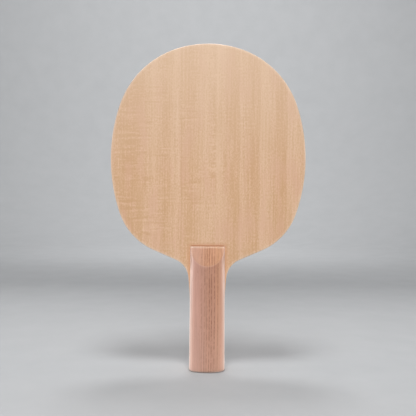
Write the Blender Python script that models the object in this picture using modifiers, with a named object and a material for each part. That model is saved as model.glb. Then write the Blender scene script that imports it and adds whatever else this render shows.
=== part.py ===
"""A table tennis paddle of bare wood: a seven-ply blade held between two grip scales.

It stands upright on the end of its grip. Z runs up its length, X across the blade, and Y through
its thickness, with the front towards -Y. The origin is the middle of the grip's end face.
Lengths are in metres and angles in degrees.
"""

from math import ceil, cos, pi, radians, sin

import bmesh
import bpy

# Overall size
TOTAL_LENGTH = 0.252
BLADE_WIDTH = 0.150
GRIP_LENGTH = 0.0965
GRIP_END_WIDTH = 0.0277
GRIP_TOP_WIDTH = 0.0265
TANG_WAIST_WIDTH = 0.0270

# Plies, from the middle of the blade outwards, and the glue line between two neighbours
CORE_THICKNESS = 0.0018
INNER_THICKNESS = 0.0010
MIDDLE_THICKNESS = 0.0006
FACE_THICKNESS = 0.0006
GLUE_LINE = 0.00005

# The blade's outline is a chain of tangent arcs, from the middle of its top edge down one side.
# A heading is the outline's direction: 0 along +X, 90 straight down, past 90 back inwards.
CROWN_RADIUS = 0.080
CROWN_END = 16.0
SHOULDER_END = 71.0
SIDE_RADIUS = 0.128
SIDE_END = 109.0
CHEEK_RADIUS = 0.048
CHEEK_END = 156.5
NECK_RADIUS = 0.0165
NECK_END = 96.0
THROAT_RADIUS = 0.217
STRAIGHT_DOWN = 90.0

# Each grip scale is half a flattened oval, with a ramp for the thumb at its upper end
SCALE_HEIGHT = 0.0085
OVAL_POWER = 2.45  # 2 makes an ellipse, and more makes its sides stand up and its crown flatter
RAMP_LENGTH = 0.0148
RAMP_TOP_HEIGHT = 0.0015
LIP_DROP = 0.0011
LIP_DEPTH = 0.0010
END_ROUNDING = 0.0020

# Fineness of the curves
ARC_STEP = 4.0
OVAL_STEPS = 22
ROUNDING_SEGMENTS = 3
CUTTER_MARGIN = 0.0005

HALF_BLADE = (
    CORE_THICKNESS / 2 + INNER_THICKNESS + MIDDLE_THICKNESS + FACE_THICKNESS + 3 * GLUE_LINE
)
FRONT_TURN = pi  # the back scale faces +Y as modelled, and the front one is turned round to face -Y
BACK_TURN = 0.0

# Linear colours of the woods
FACE_WOOD = (0.67, 0.46, 0.30)
MIDDLE_WOOD = (0.70, 0.54, 0.36)
INNER_WOOD = (0.63, 0.43, 0.26)
CORE_WOOD = (0.74, 0.60, 0.42)
GRIP_WOOD = (0.50, 0.28, 0.20)


def clear_scene():
    for obj in list(bpy.data.objects):
        bpy.data.objects.remove(obj, do_unlink=True)


def new_collection(name):
    collection = bpy.data.collections.new(name)
    bpy.context.scene.collection.children.link(collection)
    return collection


def wood(name, colour, roughness):
    material = bpy.data.materials.new(name)
    material.use_nodes = True
    shader = material.node_tree.nodes["Principled BSDF"]
    shader.inputs["Base Color"].default_value = (*colour, 1.0)
    shader.inputs["Roughness"].default_value = roughness
    shader.inputs["Metallic"].default_value = 0.0
    return material


def sine(degrees):
    return sin(radians(degrees))


def bend(start, radius, heading, end_heading):
    """The points after start on an arc that turns from one heading to another.

    It is convex where the heading grows, and concave where it falls.
    """
    side = 1 if end_heading > heading else -1
    steps = max(2, ceil(abs(end_heading - heading) / ARC_STEP))
    points = []
    for step in range(1, steps + 1):
        here = heading + (end_heading - heading) * step / steps
        across = sine(here) - sine(heading)
        down = cos(radians(here)) - cos(radians(heading))
        points.append((start[0] + side * radius * across, start[1] + side * radius * down))
    return points


def half_outline():
    """One side of the blade and its tang, from the middle of the top edge to the end of the tang."""
    shoulder_radius = (
        BLADE_WIDTH / 2 - CROWN_RADIUS * sine(CROWN_END) - SIDE_RADIUS * (1 - sine(SHOULDER_END))
    ) / (sine(SHOULDER_END) - sine(CROWN_END))
    neck_half_width = (
        TANG_WAIST_WIDTH / 2
        + NECK_RADIUS * (sine(NECK_END) - sine(CHEEK_END))
        + THROAT_RADIUS * (1 - sine(NECK_END))
    )

    points = [(0.0, TOTAL_LENGTH)]
    points += bend(points[-1], CROWN_RADIUS, 0, CROWN_END)
    points += bend(points[-1], shoulder_radius, CROWN_END, SHOULDER_END)
    points += bend(points[-1], SIDE_RADIUS, SHOULDER_END, SIDE_END)
    points += bend(points[-1], CHEEK_RADIUS, SIDE_END, CHEEK_END)
    # The straight flank reaches in to where the neck's arc has to begin
    flank = (points[-1][0] - neck_half_width) / -cos(radians(CHEEK_END))
    flank_drop = flank * sine(CHEEK_END)
    points.append((neck_half_width, points[-1][1] - flank_drop))
    points += bend(points[-1], NECK_RADIUS, CHEEK_END, NECK_END)
    points += bend(points[-1], THROAT_RADIUS, NECK_END, STRAIGHT_DOWN)
    points.append((GRIP_END_WIDTH / 2, END_ROUNDING))
    points += bend(points[-1], END_ROUNDING, STRAIGHT_DOWN, 180)
    return points


def blade_outline():
    right = half_outline()
    left = [(-x, z) for x, z in reversed(right[1:])]
    return right + left


def scale_section():
    """The grip scale's cross-section: its flat back on the blade, and the oval crown over it."""
    half_width = GRIP_END_WIDTH / 2
    points = []
    for step in range(OVAL_STEPS + 1):
        turn = pi * step / OVAL_STEPS
        height = SCALE_HEIGHT * (1 - cos(turn) ** 2) ** (1 / OVAL_POWER)
        points.append((half_width * cos(turn), height))
    return points


def ramp_section():
    """The side view of what is cut from a scale's upper end, as distances outwards and upwards.

    It leaves the ramp, and a chamfered lip between the ramp and the end face.
    """
    slope = (SCALE_HEIGHT - RAMP_TOP_HEIGHT) / RAMP_LENGTH
    lip_slope = (RAMP_TOP_HEIGHT + slope * LIP_DROP - LIP_DEPTH) / LIP_DROP
    outside = SCALE_HEIGHT + 2 * CUTTER_MARGIN
    ramp_foot = GRIP_LENGTH - (outside - RAMP_TOP_HEIGHT) / slope
    return [
        (outside, ramp_foot),
        (outside, GRIP_LENGTH + CUTTER_MARGIN),
        (LIP_DEPTH - lip_slope * CUTTER_MARGIN, GRIP_LENGTH + CUTTER_MARGIN),
        (RAMP_TOP_HEIGHT + slope * LIP_DROP, GRIP_LENGTH - LIP_DROP),
    ]


def flat_piece(name, outline, thickness, collection, parent):
    """A closed outline in the object's own XY plane, extruded by half the thickness to each side."""
    curve = bpy.data.curves.new(name, "CURVE")
    curve.dimensions = "2D"
    curve.fill_mode = "BOTH"
    curve.extrude = thickness / 2
    spline = curve.splines.new("POLY")
    spline.points.add(len(outline) - 1)
    for point, (x, y) in zip(spline.points, outline):
        point.co = (x, y, 0.0, 1.0)
    spline.use_cyclic_u = True
    obj = bpy.data.objects.new(name, curve)
    obj.parent = parent
    collection.objects.link(obj)
    return obj


def made_mesh(curve_object):
    """Replaces a curve object by a mesh object of the same name and place, with its caps welded on."""
    bpy.context.view_layer.update()
    graph = bpy.context.evaluated_depsgraph_get()
    mesh = bpy.data.meshes.new_from_object(curve_object.evaluated_get(graph))
    shape = bmesh.new()
    shape.from_mesh(mesh)
    bmesh.ops.remove_doubles(shape, verts=shape.verts, dist=1e-7)
    bmesh.ops.dissolve_limit(shape, angle_limit=radians(0.1), verts=shape.verts, edges=shape.edges)
    bmesh.ops.recalc_face_normals(shape, faces=shape.faces)
    shape.to_mesh(mesh)
    shape.free()

    name = curve_object.name
    curve = curve_object.data
    place = curve_object.matrix_world.copy()
    collection = curve_object.users_collection[0]
    parent = curve_object.parent
    bpy.data.objects.remove(curve_object)
    bpy.data.curves.remove(curve)
    mesh.name = name
    obj = bpy.data.objects.new(name, mesh)
    obj.parent = parent
    obj.matrix_world = place
    collection.objects.link(obj)
    return obj


def ply(name, centre_y, thickness, material, collection, parent):
    """One layer of the blade, cut to the whole outline from the top edge to the end of the tang."""
    obj = flat_piece(name, blade_outline(), thickness, collection, parent)
    obj.rotation_euler = (pi / 2, 0, 0)
    obj.location = (0, centre_y, 0)
    obj.data.materials.append(material)


def taper(mesh):
    """Narrows a scale from the width of its lower end to the width of its upper end."""
    for vertex in mesh.vertices:
        if vertex.co.z > 0:
            vertex.co.x *= GRIP_TOP_WIDTH / GRIP_END_WIDTH


def mark_end_rim(mesh):
    """Gives bevel weight to the rim of the scale's lower end, apart from its edge on the blade."""
    lowest = min(vertex.co.z for vertex in mesh.vertices)
    shape = bmesh.new()
    shape.from_mesh(mesh)
    weight = shape.edges.layers.float.new("bevel_weight_edge")
    for edge in shape.edges:
        at_end = all(abs(vertex.co.z - lowest) < GLUE_LINE for vertex in edge.verts)
        on_blade = all(vertex.co.y < GLUE_LINE for vertex in edge.verts)
        edge[weight] = float(at_end and not on_blade)
    shape.to_mesh(mesh)
    shape.free()


def ramp_cutter(name, turn, collection, parent):
    curve = flat_piece(name, ramp_section(), 2 * GRIP_END_WIDTH, collection, parent)
    curve.rotation_euler = (pi / 2, 0, pi / 2 + turn)
    curve.location = (0, HALF_BLADE * cos(turn), 0)
    cutter = made_mesh(curve)
    cutter.hide_render = True
    cutter.display_type = "WIRE"
    return cutter


def grip_scale(name, turn, material, collection, cutters, parent):
    """A grip scale with its lower rim rounded and its thumb ramp cut, one glue line off the blade."""
    curve = flat_piece(name, scale_section(), GRIP_LENGTH, collection, parent)
    curve.rotation_euler = (0, 0, turn)
    curve.location = (0, (HALF_BLADE + GLUE_LINE) * cos(turn), GRIP_LENGTH / 2)
    scale = made_mesh(curve)
    taper(scale.data)
    mark_end_rim(scale.data)

    rounding = scale.modifiers.new("end_rounding", "BEVEL")
    rounding.limit_method = "WEIGHT"
    rounding.width = END_ROUNDING
    rounding.segments = ROUNDING_SEGMENTS

    ramp = scale.modifiers.new("thumb_ramp", "BOOLEAN")
    ramp.operation = "DIFFERENCE"
    ramp.solver = "EXACT"
    ramp.object = ramp_cutter(name + "_ramp_cutter", turn, cutters, parent)

    scale.data.materials.append(material)
    scale.data.shade_smooth()
    scale.data.set_sharp_from_angle(angle=radians(30))


def build():
    clear_scene()
    parts = new_collection("table_tennis_paddle")
    cutters = new_collection("cutters")
    paddle = bpy.data.objects.new("paddle_origin", None)
    parts.objects.link(paddle)

    layers = (
        ("inner_ply", INNER_THICKNESS, wood("inner_veneer", INNER_WOOD, 0.6)),
        ("middle_ply", MIDDLE_THICKNESS, wood("middle_veneer", MIDDLE_WOOD, 0.6)),
        ("face_ply", FACE_THICKNESS, wood("face_veneer", FACE_WOOD, 0.5)),
    )
    ply("core_ply", 0, CORE_THICKNESS, wood("core_wood", CORE_WOOD, 0.65), parts, paddle)
    inside = CORE_THICKNESS / 2
    for layer, thickness, material in layers:
        offset = inside + GLUE_LINE + thickness / 2
        ply("front_" + layer, -offset, thickness, material, parts, paddle)
        ply("back_" + layer, offset, thickness, material, parts, paddle)
        inside = offset + thickness / 2

    grip_wood = wood("grip_wood", GRIP_WOOD, 0.45)
    grip_scale("front_grip", FRONT_TURN, grip_wood, parts, cutters, paddle)
    grip_scale("back_grip", BACK_TURN, grip_wood, parts, cutters, paddle)


build()
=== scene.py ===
"""The looks of a bare wooden table tennis paddle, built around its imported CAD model.

It stands upright on the end of its grip, in the CAD's frame: Z up its length, X across the blade,
and Y through its thickness, with the front towards -Y. Lengths are in metres and angles in degrees.
"""

from math import ceil, cos, pi, radians, sin

import bmesh
import bpy
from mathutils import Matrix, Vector


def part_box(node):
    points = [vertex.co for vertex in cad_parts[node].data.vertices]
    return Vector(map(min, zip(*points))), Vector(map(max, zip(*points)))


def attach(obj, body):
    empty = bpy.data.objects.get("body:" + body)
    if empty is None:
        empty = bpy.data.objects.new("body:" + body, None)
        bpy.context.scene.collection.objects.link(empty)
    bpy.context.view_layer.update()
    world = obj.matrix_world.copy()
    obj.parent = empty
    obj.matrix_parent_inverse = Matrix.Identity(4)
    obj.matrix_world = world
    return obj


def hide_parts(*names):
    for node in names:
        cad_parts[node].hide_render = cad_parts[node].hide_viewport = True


MM = 0.001

# The blade's outline, a chain of tangent arcs from the middle of its top edge down one side.
# A heading is the outline's direction: 0 along +X, 90 straight down, past 90 back inwards.
CROWN_RADIUS = 0.080
CROWN_END = 16.0
SHOULDER_END = 71.0
SIDE_RADIUS = 0.128
SIDE_END = 109.0
CHEEK_RADIUS = 0.048
CHEEK_END = 156.5
NECK_RADIUS = 0.0165
NECK_END = 96.0
THROAT_RADIUS = 0.217
STRAIGHT_DOWN = 90.0
ARC_STEP = 1.5
CORNER_STEPS = 6

# The plies' edges
FACE_EDGE_ROUNDING = 0.40 * MM
INNER_EDGE_ROUNDING = 0.06 * MM
HIDDEN_ROUNDINGS = (INNER_EDGE_ROUNDING, INNER_EDGE_ROUNDING)
EDGE_STEPS = 4
FLAT_RIM = 0.3 * MM  # a narrow flat ring beside the rounding keeps the face's shading flat
WORN_RIM = 2.2 * MM
WORN_FROM = 0.3  # the worn rim starts to widen at this share of the grip's height
WORN_RISE = 0.2  # and has its full width after this much more of it
PART_WORN = 0.7  # the wear at the flat ring, between none inside it and all of it on the edge
GLUE_FILL = 0.4  # how much of each glue line a ply takes up on either side
SOFT_PLY_INSET = 0.03 * MM

# The grip scales
SCALE_HEIGHT = 0.0085
OVAL_POWER = 2.45
RAMP_LENGTH = 0.0148
RAMP_TOP_HEIGHT = 0.0015
LIP_DROP = 0.0011
LIP_DEPTH = 0.0010
END_ROUNDING = 0.0020
GRIP_TOP_WIDTH = 0.0265
TANG_WAIST_WIDTH = 0.0270
RAMP_SOFTENING = 0.35 * MM
LIP_SOFTENING = 0.12 * MM
# Painted highlights along the ramp's crease and the scales' sides: how far each reaches and how strong
# it is
CREASE_HIGHLIGHT_WIDTH = 0.35 * MM
CREASE_HIGHLIGHT = 0.15
SIDE_HIGHLIGHT_WIDTH = 2.5 * MM
SIDE_HIGHLIGHT = 0.55
SCALE_COLUMNS = 96
BODY_ROW = 4 * MM
RAMP_ROW = 0.22 * MM
ROWS_BELOW_RAMP = 3 * MM  # the close rows start this far below the ramp
LEAST_LIFT = 1e-6  # keeps the oval's slope finite where it meets the blade

# The camera, level with the lower half of the blade and turned slightly down
CAMERA_DISTANCE = 0.500
CAMERA_HEIGHT = 0.1419
CAMERA_PITCH = 1.8
CAMERA_ROLL = 0.39
CAMERA_LENS = 56.14
CAMERA_CLIP = 0.01

SHARP_ANGLE = 35


# ---------------------------------------------------------------- shapes


def sine(degrees):
    return sin(radians(degrees))


def cosine(degrees):
    return cos(radians(degrees))


def bend(rim, radius, end_heading, steps=None):
    """Adds an arc to a rim of (x, z, heading) points, turning from its last heading to another.

    It is convex where the heading grows, and concave where it falls.
    """
    x, z, heading = rim[-1]
    side = 1 if end_heading > heading else -1
    steps = steps or max(2, ceil(abs(end_heading - heading) / ARC_STEP))
    for step in range(1, steps + 1):
        here = heading + (end_heading - heading) * step / steps
        across = sine(here) - sine(heading)
        down = cosine(here) - cosine(heading)
        rim.append((x + side * radius * across, z + side * radius * down, here))


def half_outline(length, width, half_grip):
    """One side of the blade and its tang, from the middle of the top edge to the end of the tang."""
    shoulder_radius = (
        width / 2 - CROWN_RADIUS * sine(CROWN_END) - SIDE_RADIUS * (1 - sine(SHOULDER_END))
    ) / (sine(SHOULDER_END) - sine(CROWN_END))
    neck_half_width = (
        TANG_WAIST_WIDTH / 2
        + NECK_RADIUS * (sine(NECK_END) - sine(CHEEK_END))
        + THROAT_RADIUS * (1 - sine(NECK_END))
    )
    rim = [(0.0, length, 0.0)]
    bend(rim, CROWN_RADIUS, CROWN_END)
    bend(rim, shoulder_radius, SHOULDER_END)
    bend(rim, SIDE_RADIUS, SIDE_END)
    bend(rim, CHEEK_RADIUS, CHEEK_END)
    # The straight flank reaches in to where the neck's arc has to begin
    x, z, heading = rim[-1]
    flank = (x - neck_half_width) / -cosine(CHEEK_END)
    rim.append((neck_half_width, z - flank * sine(CHEEK_END), heading))
    bend(rim, NECK_RADIUS, NECK_END)
    bend(rim, THROAT_RADIUS, STRAIGHT_DOWN)
    rim.append((half_grip, END_ROUNDING, STRAIGHT_DOWN))
    bend(rim, END_ROUNDING, 180, CORNER_STEPS)
    return rim


def blade_outline():
    """The whole closed outline, as (x, z, outward x, outward z)."""
    low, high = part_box("front_face_ply")
    half_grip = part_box("front_grip")[1].x
    half = half_outline(high.z, high.x - low.x, half_grip)
    right = [(x, z, sine(heading), cosine(heading)) for x, z, heading in half]
    left = [(-x, z, -out_x, out_z) for x, z, out_x, out_z in reversed(right[1:])]
    return right + left


def object_from(name, mesh, material):
    """A new object, smooth-shaded except at its sharp edges."""
    for polygon in mesh.polygons:
        polygon.use_smooth = True
    mesh.set_sharp_from_angle(angle=radians(SHARP_ANGLE))
    mesh.materials.append(material)
    obj = bpy.data.objects.new(name, mesh)
    bpy.context.scene.collection.objects.link(obj)
    return obj


def shell(name, rings, wear_and_highlight, material):
    """A closed solid skinned over rings of points, with a flat cap on its first and last ring.

    The argument after the rings gives a value from 0 to 1 for each point, which the material reads as
    an attribute of the same name: real wear on the face veneers, painted highlights and a painted floor
    reflection on the grip scales.
    """
    shape = bmesh.new()
    layer = shape.verts.layers.float.new("wear_and_highlight")
    loops = []
    for ring, values in zip(rings, wear_and_highlight):
        loop = []
        for point, value in zip(ring, values):
            vertex = shape.verts.new(point)
            vertex[layer] = value
            loop.append(vertex)
        loops.append(loop)
    for loop, following in zip(loops, loops[1:]):
        for corner in range(len(loop)):
            before = corner - 1
            shape.faces.new((loop[before], loop[corner], following[corner], following[before]))
    shape.faces.new(reversed(loops[0]))
    shape.faces.new(loops[-1])
    bmesh.ops.recalc_face_normals(shape, faces=shape.faces)
    mesh = bpy.data.meshes.new(name)
    shape.to_mesh(mesh)
    shape.free()
    return object_from(name, mesh, material)


def worn_inset(z, grip_top):
    """How far in the worn rim reaches: its full width on the blade, and next to nothing on the tang."""
    narrow = FACE_EDGE_ROUNDING + FLAT_RIM
    share = min(1.0, max(0.0, (z - WORN_FROM * grip_top) / (WORN_RISE * grip_top)))
    return narrow + (WORN_RIM - narrow) * share


def rounded_edge(rounding):
    """(how far in, how deep) for each step of a quarter round, from the flat face to the edge."""
    steps = []
    for step in range(EDGE_STEPS + 1):
        turn = 90 * step / EDGE_STEPS
        steps.append((rounding * (1 - sine(turn)), rounding * (1 - cosine(turn))))
    return steps


def ply(name, cad_node, front_rounding, back_rounding, material, inset, fill):
    """One layer of the blade, its edges rounded and most of the glue line beside it filled."""
    low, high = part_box(cad_node)
    grip_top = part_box("front_grip")[1].z
    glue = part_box("core_ply")[0].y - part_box("front_inner_ply")[1].y
    front = low.y - fill[0] * GLUE_FILL * glue
    back = high.y + fill[1] * GLUE_FILL * glue
    outline = blade_outline()

    profile = [(inwards, front + deep) for inwards, deep in rounded_edge(front_rounding)]
    profile += [(inwards, back - deep) for inwards, deep in reversed(rounded_edge(back_rounding))]

    def ring(inwards, y):
        return [(x - inwards * out_x, y, z - inwards * out_z) for x, z, out_x, out_z in outline]

    def worn_ring(y):
        points = []
        for x, z, out_x, out_z in outline:
            inwards = worn_inset(z, grip_top)
            points.append((x - inwards * out_x, y, z - inwards * out_z))
        return points

    rings = [worn_ring(front), ring(front_rounding + FLAT_RIM, front)]
    rings += [ring(inset + inwards, y) for inwards, y in profile]
    rings += [ring(back_rounding + FLAT_RIM, back), worn_ring(back)]
    wear_and_highlight = [0.0, PART_WORN] + [1.0] * len(profile) + [PART_WORN, 0.0]
    return shell(name, rings, [[value] * len(outline) for value in wear_and_highlight], material)


def soft_min(a, b, softening):
    """The smaller of two heights, with the crease between them rounded."""
    share = min(1.0, max(0.0, 0.5 + 0.5 * (b - a) / softening))
    return b + (a - b) * share - softening * share * (1 - share)


def ramp_height(z, top):
    """How high a grip scale may stand off the blade at this height up the grip."""
    slope = (SCALE_HEIGHT - RAMP_TOP_HEIGHT) / RAMP_LENGTH
    lip_slope = (RAMP_TOP_HEIGHT + slope * LIP_DROP - LIP_DEPTH) / LIP_DROP
    ramp = RAMP_TOP_HEIGHT + slope * (top - z)
    lip = LIP_DEPTH + lip_slope * (top - z)
    return soft_min(ramp, lip, LIP_SOFTENING)


def scale_rows(top):
    """(height, how far the end's rounding draws the section in) for each row up a grip scale."""
    rows = []
    for step in range(CORNER_STEPS + 1):
        turn = 90 * step / CORNER_STEPS
        rows.append((END_ROUNDING * (1 - cosine(turn)), END_ROUNDING * (1 - sine(turn))))
    close_rows = top - RAMP_LENGTH - ROWS_BELOW_RAMP
    body_rows = ceil((close_rows - END_ROUNDING) / BODY_ROW)
    for row in range(1, body_rows + 1):
        rows.append((END_ROUNDING + (close_rows - END_ROUNDING) * row / body_rows, 0.0))
    ramp_rows = ceil((top - close_rows) / RAMP_ROW)
    for row in range(1, ramp_rows + 1):
        rows.append((close_rows + (top - close_rows) * row / ramp_rows, 0.0))
    return rows


def scale_painted_light(z, from_side, from_crease):
    """How much painted light a grip scale has at a point: a painted floor reflection along its lower
    rim, and painted highlights along its sides and the ramp's crease.
    """
    rim = 1 - z / END_ROUNDING
    side = SIDE_HIGHLIGHT * (1 - from_side / SIDE_HIGHLIGHT_WIDTH)
    crease = CREASE_HIGHLIGHT * (1 - from_crease / CREASE_HIGHLIGHT_WIDTH)
    return max(0.0, rim, side, crease)


def grip_scale(name, cad_node, material):
    """A grip scale: an oval crown over a flat back, with a thumb ramp and a chamfered lip on top."""
    low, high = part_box(cad_node)
    top = high.z
    faces_front = low.y < 0
    outwards = -1 if faces_front else 1
    blade_side = high.y if faces_front else low.y
    exponent = 2 / OVAL_POWER

    rings = []
    wear_and_highlight = []
    for z, drawn_in in scale_rows(top):
        ramp = ramp_height(z, top)
        half_width = high.x + (GRIP_TOP_WIDTH / 2 - high.x) * z / top
        ring = []
        rubbed_and_lit = []
        for column in range(SCALE_COLUMNS + 1):
            turn = pi * column / SCALE_COLUMNS
            lift = max(sin(turn), LEAST_LIFT)
            rise = SCALE_HEIGHT * exponent * lift ** (exponent - 1) * cos(turn)
            normal = Vector((rise, half_width * lift)).normalized()
            x = half_width * cos(turn) - drawn_in * normal.x
            crown = SCALE_HEIGHT * lift ** exponent - drawn_in * normal.y
            height = max(0.0, soft_min(crown, ramp, RAMP_SOFTENING))
            if column in (0, SCALE_COLUMNS):
                height = 0.0
            ring.append((x, blade_side + outwards * height, z))
            # painted highlights along the sides and crease, and a painted floor reflection along the
            # lower rim
            rubbed_and_lit.append(scale_painted_light(z, half_width - abs(x), abs(crown - ramp)))
        rings.append(ring)
        wear_and_highlight.append(rubbed_and_lit)
    return shell(name, rings, wear_and_highlight, material)


# ---------------------------------------------------------------- materials

NOISE_LOW = 0.3  # nearly all of a noise pattern lies between these two values
NOISE_HIGH = 0.7
BUMP_DEPTH = 0.05 * MM
HALF_FACE = 75  # how far the face's stops reach either way, in millimetres
BACK_STRETCH = -0.93  # the back's bands are the front's, mirrored and a little wider


def node(tree, kind, settings=None, inputs=None):
    """Adds a shader node. An input is a value, or another node's output to link to it."""
    made = tree.nodes.new("ShaderNode" + kind)
    for name, value in (settings or {}).items():
        setattr(made, name, value)
    for name, value in (inputs or {}).items():
        if isinstance(value, bpy.types.NodeSocket):
            tree.links.new(value, made.inputs[name])
        else:
            made.inputs[name].default_value = value
    return made


def calc(tree, operation, first, second=0.0):
    """One sum on one or two values."""
    return node(tree, "Math", {"operation": operation}, {0: first, 1: second}).outputs[0]


def spread(tree, value, low, high, to_low=0.0, to_high=1.0):
    """Maps a range of a value to another range, and clamps it there."""
    inputs = {"Value": value, "From Min": low, "From Max": high, "To Min": to_low, "To Max": to_high}
    return node(tree, "MapRange", None, inputs).outputs["Result"]


def vary(tree, pattern, low=0.0, high=1.0):
    """Stretches the middle of a noise pattern over a range."""
    return spread(tree, pattern, NOISE_LOW, NOISE_HIGH, low, high)


def total(tree, *values):
    """The sum of several values."""
    result = values[0]
    for value in values[1:]:
        result = calc(tree, "ADD", result, value)
    return result


def product(tree, *values):
    """Several values multiplied together."""
    result = values[0]
    for value in values[1:]:
        result = calc(tree, "MULTIPLY", result, value)
    return result


def blend(tree, factor, first, second, mode="MIX"):
    """Mixes two colours, each a tuple or another node's output."""
    made = tree.nodes.new("ShaderNodeMix")
    made.data_type = "RGBA"
    made.blend_type = mode
    sockets = (made.inputs[0], made.inputs[6], made.inputs[7])
    for socket, value in zip(sockets, (factor, first, second)):
        if isinstance(value, bpy.types.NodeSocket):
            tree.links.new(value, socket)
        elif isinstance(value, tuple):
            socket.default_value = (*value, 1.0)
        else:
            socket.default_value = value
    return made.outputs[2]


def noise(tree, place, per_metre, detail=2.0, shift=(0, 0, 0)):
    """Noise from 0 to 1 about 0.5, with its own number of swings per metre along X, Y and Z."""
    mapped = node(
        tree, "Mapping", {"vector_type": "POINT"},
        {"Vector": place, "Location": shift, "Scale": per_metre},
    )
    texture = node(
        tree, "TexNoise", {"noise_dimensions": "3D"},
        {"Vector": mapped.outputs[0], "Scale": 1.0, "Detail": detail, "Roughness": 0.55},
    )
    return texture.outputs["Fac"]


def steps_across(tree, value, stops):
    """A grey value that follows (position, grey) stops along a value from 0 to 1."""
    ramp = node(tree, "ValToRGB", None, {"Fac": value})
    elements = ramp.color_ramp.elements
    while len(elements) > 1:
        elements.remove(elements[-1])
    for index, (position, grey) in enumerate(stops):
        element = elements[0] if index == 0 else elements.new(position)
        element.position = position
        element.color = (grey, grey, grey, 1.0)
    return ramp.outputs["Color"]


def across_ramp(tree, across, stops, half_width=HALF_FACE):
    """A value that follows (millimetres, value) stops across the paddle."""
    position = spread(tree, across, -half_width * MM, half_width * MM)
    shares = [((mm + half_width) / (2 * half_width), value) for mm, value in stops]
    return steps_across(tree, position, shares)


def wood(name, roughness, specular):
    """A new material, with its tree, its shader, and the object's own coordinates."""
    material = bpy.data.materials.new(name)
    material.use_nodes = True
    tree = material.node_tree
    shader = tree.nodes["Principled BSDF"]
    shader.inputs["Roughness"].default_value = roughness
    shader.inputs["Specular IOR Level"].default_value = specular
    coordinates = tree.nodes.new("ShaderNodeTexCoord")
    return material, tree, shader, coordinates


def finish_wood(tree, shader, colour, relief, depth, rough_low, rough_high):
    """Links a wood's colour, and lets one relief pattern drive its bump and its roughness."""
    tree.links.new(colour, shader.inputs["Base Color"])
    bump = node(tree, "Bump", None, {"Height": relief, "Distance": depth, "Strength": 1.0})
    tree.links.new(bump.outputs["Normal"], shader.inputs["Normal"])
    rough = vary(tree, relief, rough_high, rough_low)
    tree.links.new(rough, shader.inputs["Roughness"])


# Growth bands across the face: (distance from the middle in millimetres, 0 dark to 1 light)
FACE_BANDS = (
    (-75, 0.45), (-63, 0.10), (-54, 0.15), (-42, 0.85), (-33, 0.20), (-25, 0.85),
    (-21.6, 0.70), (-20.9, 0.0), (-20.0, 0.45), (-14, 0.20), (-2.5, 0.80), (5.8, 0.55),
    (6.6, 1.0), (9.5, 0.9), (14, 0.45), (20.6, 0.10), (23.8, 0.25), (24.5, 0.85), (27, 0.6),
    (34.4, 0.12), (39.6, 0.3), (40.3, 0.95), (45, 0.85), (50, 0.4), (57, 0.05), (60.7, 0.2),
    (61.4, 0.75), (66, 0.8), (75, 0.5),
)
# Where the grain ripples, as fine level lines: (distance from the middle in millimetres, strength)
FACE_RIPPLES = (
    (-75, 0.3), (-62, 0.9), (-40, 1.0), (-32, 0.7), (-31, 0.25), (-22, 0.2), (-20, 0.7), (-9, 0.5),
    (-2, 0.2), (-1, 0.8), (5.5, 0.9), (6.5, 0.15), (20, 0.2), (24, 0.1), (25, 0.4), (31, 0.3),
    (33, 0.0), (75, 0.1),
)
FACE_LIGHT = (0.780, 0.524, 0.347)
FACE_DARK = (0.640, 0.374, 0.202)
FACE_PINK = (0.715, 0.430, 0.286)
FACE_TAN = (0.680, 0.424, 0.240)
# the colour of the painted light towards the face's top
FACE_TOP_LIGHT = (0.705, 0.530, 0.385)
FACE_EDGE = (0.80, 0.60, 0.46)
FACE_TOP_LIGHT_FROM = 0.150  # painted light: the face is painted paler towards its top, as light from above falls on it, between these two heights
FACE_TOP_LIGHT_TO = 0.250
# Painted shade where the grip meets the blade: a dark contact line, and warm shade beside and just
# above it
CORNER_CONTACT_SHADE = (0.40, 0.16, 0.065)
CORNER_WARM_SHADE = (0.62, 0.30, 0.16)


def painted_corner_shade(tree, colour, x, z, fine, mottle):
    """Painted contact shade along the upper end of the grip, and warm painted shade in the two corners
    beside it.
    """
    grip_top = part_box("front_grip")[1].z
    grip_side = GRIP_TOP_WIDTH / 2
    sideways = calc(tree, "ABSOLUTE", x)
    above = spread(tree, z, grip_top + 0.5 * MM, grip_top + 1.2 * MM, 1.0, 0.0)
    between = spread(tree, sideways, grip_side - 0.2 * MM, grip_side - 1.0 * MM)
    contact_shade = product(tree, above, between, spread(tree, fine, 0.3, 0.6, 0.75, 1.0))
    # a dark line of painted contact shade just above the grip's upper end
    colour = blend(tree, contact_shade, colour, CORNER_CONTACT_SHADE)
    # warm painted shade beside the grip and just above it
    over = spread(tree, z, grip_top + 0.8 * MM, grip_top + 3.2 * MM, 1.0, 0.0)
    beside = spread(tree, sideways, grip_side + 0.6 * MM, grip_side + 2.8 * MM, 1.0, 0.0)
    warm_shade = product(tree, over, beside, vary(tree, mottle, 0.4, 0.6))
    return blend(tree, warm_shade, colour, CORNER_WARM_SHADE)


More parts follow.
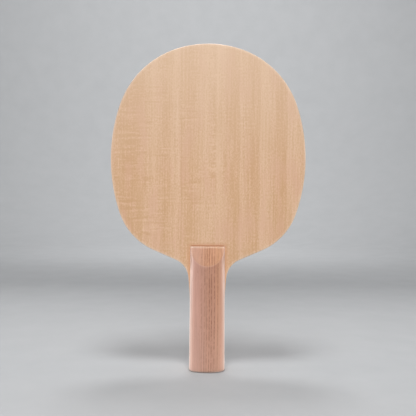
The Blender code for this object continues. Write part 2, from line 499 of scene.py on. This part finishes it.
def face_veneer(name, mirrored):
    """Pale veneer: upright growth bands, fine fibre, level ripples, and small flecks all over."""
    material, tree, shader, coordinates = wood(name, 0.5, 0.4)
    place = coordinates.outputs["Object"]
    shift = (7.3, 0, 3.1) if mirrored else (0, 0, 0)
    axes = node(tree, "SeparateXYZ", None, {"Vector": place})
    x, z = axes.outputs["X"], axes.outputs["Z"]

    wander = spread(tree, noise(tree, place, (9, 0, 11), 1, shift), 0.2, 0.8, -0.8 * MM, 0.8 * MM)
    across = calc(tree, "ADD", x, wander)
    if mirrored:
        across = calc(tree, "MULTIPLY", across, BACK_STRETCH)
    bands = across_ramp(tree, across, FACE_BANDS)
    ripple_zone = across_ramp(tree, across, FACE_RIPPLES)

    fibre = noise(tree, place, (760, 0, 22), 4, shift)
    fine = noise(tree, place, (1900, 0, 60), 3, shift)
    mottle = noise(tree, place, (950, 0, 620), 2, shift)
    ripple = noise(tree, place, (55, 0, 520), 2, shift)
    patches = noise(tree, place, (40, 0, 55), 1, shift)
    curl = product(tree, ripple_zone, spread(tree, patches, 0.42, 0.58))
    straight = spread(tree, curl, 0.0, 1.0, 1.0, 0.45)
    tone = total(
        tree,
        product(tree, bands, 0.72),
        product(tree, straight, vary(tree, fibre, -0.38, 0.38)),
        vary(tree, fine, -0.20, 0.20),
        vary(tree, mottle, -0.44, 0.44),
        product(tree, curl, vary(tree, ripple, -0.60, 0.60)),
        0.11,
    )
    colour = blend(tree, tone, FACE_DARK, FACE_LIGHT)
    hue = noise(tree, place, (85, 0, 24), 2, shift)
    colour = blend(tree, spread(tree, hue, 0.50, 0.66, 0.0, 0.55), colour, FACE_PINK)
    colour = blend(tree, spread(tree, hue, 0.50, 0.34, 0.0, 0.35), colour, FACE_TAN)

    # Painted light: paler towards the top of the face
    colour = blend(tree, spread(tree, z, FACE_TOP_LIGHT_FROM, FACE_TOP_LIGHT_TO, 0.0, 0.5), colour, FACE_TOP_LIGHT)

    worn_and_lit = node(tree, "Attribute", {"attribute_name": "wear_and_highlight"}).outputs["Fac"]
    rubbed_and_lit = product(tree, worn_and_lit, spread(tree, fibre, 0.35, 0.6, 0.25, 0.7))
    colour = blend(tree, rubbed_and_lit, colour, FACE_EDGE)

    # Painted shade where the grip meets the blade
    colour = painted_corner_shade(tree, colour, x, z, fine, mottle)
    relief = total(
        tree, product(tree, fibre, 0.5), product(tree, fine, 0.3), product(tree, mottle, 0.2)
    )
    finish_wood(tree, shader, colour, relief, BUMP_DEPTH, 0.44, 0.56)
    return material


# The woods of the hidden plies: light and dark colour, then the swings per metre of the grain and
# of the pores along X, Y and Z, and where each one's noise is read
INNER_WOODS = {
    "middle_veneer": (
        (0.60, 0.43, 0.28), (0.50, 0.34, 0.21), (60, 1700, 1700), (200, 3000, 3000), (1.3, 0, 0),
    ),
    "inner_veneer": (
        (0.50, 0.32, 0.19), (0.40, 0.24, 0.13), (1700, 1700, 60), (3000, 3000, 200), (0, 2.2, 0),
    ),
    "core_wood": (
        (0.64, 0.48, 0.33), (0.54, 0.39, 0.26), (1100, 1100, 45), (2200, 2200, 120), (0, 0, 4.4),
    ),
}
PORE_DARKNESS = 0.6


def inner_wood(name, light, dark, per_metre, pores_per_metre, shift):
    """A hidden ply's wood, whose grain runs along the axis where its noise changes least."""
    material, tree, shader, coordinates = wood(name, 0.6, 0.3)
    place = coordinates.outputs["Object"]
    grain = noise(tree, place, per_metre, 4, shift)
    broad = noise(tree, place, (35, 35, 35), 2, shift)
    pores = noise(tree, place, pores_per_metre, 2, shift)
    tone = calc(tree, "ADD", vary(tree, grain, 0.0, 0.7), vary(tree, broad, 0.0, 0.3))
    colour = blend(tree, tone, dark, light)
    pore_colour = tuple(PORE_DARKNESS * channel for channel in dark)
    colour = blend(tree, spread(tree, pores, 0.60, 0.72, 0.0, 0.45), colour, pore_colour)
    finish_wood(tree, shader, colour, grain, 0.06 * MM, 0.52, 0.68)
    return material


# The grip's dark growth lines, in millimetres from its middle, and the distance over which each fades
GRIP_LINES = (-4.3, -2.2, -0.4, 1.5, 3.3, 5.5, 8.1)
GRIP_LINE_WIDTH = 0.55
HALF_GRIP = 15
GRIP_PINK = (0.545, 0.290, 0.220)
GRIP_BROWN = (0.552, 0.274, 0.175)
GRIP_TAN = (0.565, 0.284, 0.162)
# the colour of the painted floor bounce on the grip's lower end
GRIP_FLOOR_BOUNCE = (0.605, 0.362, 0.280)
GRIP_FLOOR_BOUNCE_TO = 0.060  # painted light bounced from the floor: the grip is painted palest at its end, and no paler than elsewhere from this height
GRIP_STREAK = (0.300, 0.110, 0.052)
GRIP_END = (0.36, 0.185, 0.118)
# the colour of the painted highlights and the painted floor reflection on the grip scales
GRIP_HIGHLIGHT = (0.75, 0.555, 0.445)
RAMP_TINT = (0.95, 0.94, 0.80)
RAMP_SHADE = (0.90, 0.90, 0.94)
LIP_TINT = (0.90, 1.0, 0.96)


def tinted_ramp(tree, shader, colour, upwards, across):
    """The ramp's and the lip's own tints, and less gloss, by how far the surface faces upwards."""
    on_ramp = spread(tree, upwards, 0.15, 0.35)
    on_lip = spread(tree, upwards, 0.50, 0.60)
    coat = spread(tree, upwards, 0.08, 0.25, 0.9, 0.2)
    tree.links.new(coat, shader.inputs["Coat Weight"])
    left_of_ramp = product(tree, on_ramp, spread(tree, across, -11 * MM, -2 * MM, 0.8, 0.0))
    colour = blend(tree, on_ramp, colour, RAMP_TINT, "MULTIPLY")
    colour = blend(tree, left_of_ramp, colour, RAMP_SHADE, "MULTIPLY")
    return blend(tree, on_lip, colour, LIP_TINT, "MULTIPLY")


def grip_wood(name, mirrored):
    """Pinkish-brown wood: plain and pink on one side, with dark broken streaks over the rest."""
    material, tree, shader, coordinates = wood(name, 0.5, 0.3)
    shader.inputs["Sheen Weight"].default_value = 0.42
    shader.inputs["Sheen Roughness"].default_value = 0.45
    shader.inputs["Coat Roughness"].default_value = 0.32
    place = coordinates.outputs["Object"]
    shift = (3.7, 1.9, 5.2) if mirrored else (0, 0, 0)
    axes = node(tree, "SeparateXYZ", None, {"Vector": place})
    x, z = axes.outputs["X"], axes.outputs["Z"]
    if mirrored:
        x = calc(tree, "MULTIPLY", x, -1.0)
    wander = spread(tree, noise(tree, place, (20, 20, 14), 1, shift), 0.2, 0.8, -0.25 * MM, 0.25 * MM)
    across = calc(tree, "ADD", x, wander)
    line_stops = []
    for line in GRIP_LINES:
        line_stops += [(line - GRIP_LINE_WIDTH, 0.0), (line, 1.0), (line + GRIP_LINE_WIDTH, 0.0)]
    lines = across_ramp(tree, across, line_stops, HALF_GRIP)

    brown = spread(tree, across, -7 * MM, 0)
    tan = product(
        tree, spread(tree, across, 6.0 * MM, 7.0 * MM), spread(tree, across, 11.0 * MM, 9.0 * MM)
    )
    streaky = product(
        tree,
        spread(tree, across, -8 * MM, -2 * MM, 0.12, 1.0),
        spread(tree, across, 9.5 * MM, 7.0 * MM, 0.35, 1.0),
    )
    fibre = noise(tree, place, (1500, 300, 24), 4, shift)
    broad = noise(tree, place, (140, 60, 12), 2, shift)
    streak = noise(tree, place, (880, 130, 9), 2, shift)
    dashes = noise(tree, place, (900, 200, 420), 2, shift)
    pores = noise(tree, place, (2600, 2600, 190), 2, shift)

    colour = blend(tree, brown, GRIP_PINK, GRIP_BROWN)
    colour = blend(tree, product(tree, tan, 0.6), colour, GRIP_TAN)
    # Painted light bounced from the floor: palest at the grip's end
    colour = blend(tree, spread(tree, z, 0.0, GRIP_FLOOR_BOUNCE_TO, 0.45, 0.0), colour, GRIP_FLOOR_BOUNCE)
    shade = product(tree, vary(tree, fibre, 0.90, 1.10), vary(tree, broad, 0.95, 1.05))
    colour = blend(tree, 1.0, colour, shade, "MULTIPLY")
    streaked = product(
        tree,
        streaky,
        total(tree, product(tree, lines, 0.70), spread(tree, streak, 0.50, 0.60, 0.0, 0.36)),
        spread(tree, dashes, 0.38, 0.56, 0.30, 1.0),
    )
    colour = blend(tree, streaked, colour, GRIP_STREAK)
    colour = blend(tree, spread(tree, pores, 0.62, 0.72, 0.0, 0.35), colour, GRIP_STREAK)

    facing = node(tree, "SeparateXYZ", None, {"Vector": coordinates.outputs["Normal"]})
    colour = tinted_ramp(tree, shader, colour, facing.outputs["Z"], across)
    # Painted highlights along the sides and the ramp's crease, and a painted reflection of the floor
    # along the lower rim
    worn_and_lit = node(tree, "Attribute", {"attribute_name": "wear_and_highlight"}).outputs["Fac"]
    rubbed_and_lit = product(tree, worn_and_lit, spread(tree, fibre, 0.3, 0.6, 0.4, 0.85))
    colour = blend(tree, rubbed_and_lit, colour, GRIP_HIGHLIGHT)
    upright = calc(tree, "ABSOLUTE", facing.outputs["Z"])
    colour = blend(tree, spread(tree, upright, 0.96, 0.99, 0.0, 0.8), colour, GRIP_END)

    relief = total(tree, product(tree, fibre, 0.6), product(tree, pores, -0.4), 0.4)
    finish_wood(tree, shader, colour, relief, BUMP_DEPTH, 0.44, 0.58)
    return material


FLOOR_DARK = (0.365, 0.371, 0.379)
FLOOR_LIGHT = (0.38, 0.386, 0.394)


def floor_material():
    """Pale matt board, very faintly mottled."""
    material, tree, shader, coordinates = wood("pale_board", 0.75, 0.25)
    mottle = noise(tree, coordinates.outputs["Object"], (24, 24, 24), 4)
    colour = blend(tree, vary(tree, mottle), FLOOR_DARK, FLOOR_LIGHT)
    finish_wood(tree, shader, colour, mottle, BUMP_DEPTH, 0.7, 0.8)
    return material


# ---------------------------------------------------------------- the paddle


def build_blade():
    """The seven plies. Only the two face veneers have visibly rounded edges."""
    woods = {slot: inner_wood(slot, *recipe) for slot, recipe in INNER_WOODS.items()}
    layers = []
    for side, mirrored in (("front", False), ("back", True)):
        # A face veneer is rounded on its outer side, and has glue only on its inner one
        roundings = (FACE_EDGE_ROUNDING, INNER_EDGE_ROUNDING)
        fill = (0, 1)
        if mirrored:
            roundings = roundings[::-1]
            fill = fill[::-1]
        veneer = face_veneer(side + "_face_wood", mirrored)
        layers.append((
            side + "_face_veneer", side + "_face_ply", "face_veneer", roundings, veneer, 0.0, fill,
        ))
        for layer in ("middle", "inner"):
            slot = layer + "_veneer"
            layers.append((
                f"{side}_{slot}", f"{side}_{layer}_ply", slot, HIDDEN_ROUNDINGS, woods[slot],
                SOFT_PLY_INSET, (1, 1),
            ))
    layers.append((
        "core_panel", "core_ply", "core_wood", HIDDEN_ROUNDINGS, woods["core_wood"],
        SOFT_PLY_INSET, (1, 1),
    ))
    for name, cad_node, slot, (front, back), material, inset, fill in layers:
        piece = ply(name, cad_node, front, back, material, inset, fill)
        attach(piece, "root")
        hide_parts(cad_node)


def build_grip():
    """The two grip scales."""
    for side, mirrored in (("front", False), ("back", True)):
        material = grip_wood(side + "_grip_wood", mirrored)
        piece = grip_scale(side + "_grip_scale", side + "_grip", material)
        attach(piece, "root")
        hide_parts(side + "_grip")


# ---------------------------------------------------------------- the studio

FLOOR_RADIUS = 1.1
COVE_RADIUS = 0.7
WALL_TOP = 1.5
FLOOR_SEGMENTS = 96
INNER_RADIUS = 0.3
COVE_STEPS = 12
WORLD_COLOUR = (0.93, 0.96, 1.0, 1.0)
WORLD_STRENGTH = 0.15

# Where the lights aim
CAMERA_LEVEL = (0, 0, CAMERA_HEIGHT)
GRIP_FOOT = (0, 0, 0)
BELOW_GRIP = (0, 0, -0.02)
FAR_BELOW_GRIP = (0, 0, -0.06)
BACK_WALL = (0, FLOOR_RADIUS + COVE_RADIUS, 0.5)
OPEN = 180  # the beam of a light without a grid
# Each light's name, azimuth, elevation, distance, width, height, watts, beam angle and aim
SOFTBOXES = (
    ("overhead_front", 0, 70, 0.75, 0.22, 0.22, 4.9, OPEN, CAMERA_LEVEL),
    ("overhead_back", 180, 70, 0.80, 0.22, 0.22, 3.2, OPEN, CAMERA_LEVEL),
    ("front_fill", 0, 24, 1.5, 0.8, 0.8, 8.3, OPEN, CAMERA_LEVEL),
    ("left_strip", -88, 9, 0.75, 0.7, 0.22, 0.31, 36, BELOW_GRIP),
    ("right_strip", 92, 9, 0.75, 0.6, 0.22, 0.23, 36, BELOW_GRIP),
    ("left_rim", -120, 10, 0.9, 0.6, 0.28, 0.40, 50, GRIP_FOOT),
    ("right_rim", 122, 10, 0.9, 0.6, 0.28, 0.34, 50, GRIP_FOOT),
    ("low_front", -10, 10, 1.0, 0.4, 0.2, 0.034, 30, FAR_BELOW_GRIP),
    ("backdrop", 0, 20, 1.1, 0.8, 0.8, 14.0, OPEN, BACK_WALL),
)


def build_floor():
    """A round pale floor that curves up into a low wall all round."""
    profile = [(INNER_RADIUS, 0.0), (FLOOR_RADIUS, 0.0)]
    for step in range(1, COVE_STEPS + 1):
        turn = 90 * step / COVE_STEPS
        profile.append((FLOOR_RADIUS + COVE_RADIUS * sine(turn), COVE_RADIUS * (1 - cosine(turn))))
    profile.append((FLOOR_RADIUS + COVE_RADIUS, WALL_TOP))
    shape = bmesh.new()
    loops = []
    for radius, z in profile:
        loop = []
        for segment in range(FLOOR_SEGMENTS):
            turn = 360 * segment / FLOOR_SEGMENTS
            loop.append(shape.verts.new((radius * cosine(turn), radius * sine(turn), z)))
        loops.append(loop)
    shape.faces.new(loops[0])
    for loop, following in zip(loops, loops[1:]):
        for corner in range(FLOOR_SEGMENTS):
            before = corner - 1
            shape.faces.new((loop[before], loop[corner], following[corner], following[before]))
    bmesh.ops.recalc_face_normals(shape, faces=shape.faces)
    mesh = bpy.data.meshes.new("floor")
    shape.to_mesh(mesh)
    shape.free()
    object_from("floor", mesh, floor_material())


def softbox(name, azimuth, elevation, distance, width, height, watts, beam, aim):
    """An area light that faces the aim. Azimuth 0 is the camera's side, and 90 its right."""
    direction = Vector((
        sine(azimuth) * cosine(elevation), -cosine(azimuth) * cosine(elevation), sine(elevation),
    ))
    light = bpy.data.lights.new(name, "AREA")
    light.shape = "RECTANGLE"
    light.size = width
    light.size_y = height
    light.energy = watts
    light.spread = radians(beam)
    obj = bpy.data.objects.new(name, light)
    obj.location = Vector(aim) + distance * direction
    obj.rotation_euler = direction.to_track_quat("Z", "Y").to_euler()
    obj.visible_camera = False
    bpy.context.scene.collection.objects.link(obj)


def build_lights():
    """The softboxes, and a faint even light from all round."""
    for values in SOFTBOXES:
        softbox(*values)
    world = bpy.data.worlds.new("studio")
    world.use_nodes = True
    background = world.node_tree.nodes["Background"]
    background.inputs["Color"].default_value = WORLD_COLOUR
    background.inputs["Strength"].default_value = WORLD_STRENGTH
    bpy.context.scene.world = world
    bpy.context.scene.view_settings.view_transform = "Standard"


def build_camera():
    """The camera in front of the blade, at the photograph's angle."""
    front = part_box("front_face_ply")[0].y
    data = bpy.data.cameras.new("camera")
    data.lens = CAMERA_LENS
    data.clip_start = CAMERA_CLIP
    camera = bpy.data.objects.new("camera", data)
    camera.location = (0, front - CAMERA_DISTANCE, CAMERA_HEIGHT)
    camera.rotation_euler = (radians(90 - CAMERA_PITCH), radians(-CAMERA_ROLL), 0)
    bpy.context.scene.collection.objects.link(camera)
    bpy.context.scene.camera = camera


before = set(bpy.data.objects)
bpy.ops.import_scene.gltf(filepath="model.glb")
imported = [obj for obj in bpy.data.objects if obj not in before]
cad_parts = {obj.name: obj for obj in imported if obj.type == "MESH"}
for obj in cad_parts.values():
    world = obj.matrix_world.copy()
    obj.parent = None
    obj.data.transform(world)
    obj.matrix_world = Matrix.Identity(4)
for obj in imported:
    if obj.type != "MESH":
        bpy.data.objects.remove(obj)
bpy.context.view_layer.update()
build_blade()
build_grip()
build_floor()
build_lights()
build_camera()
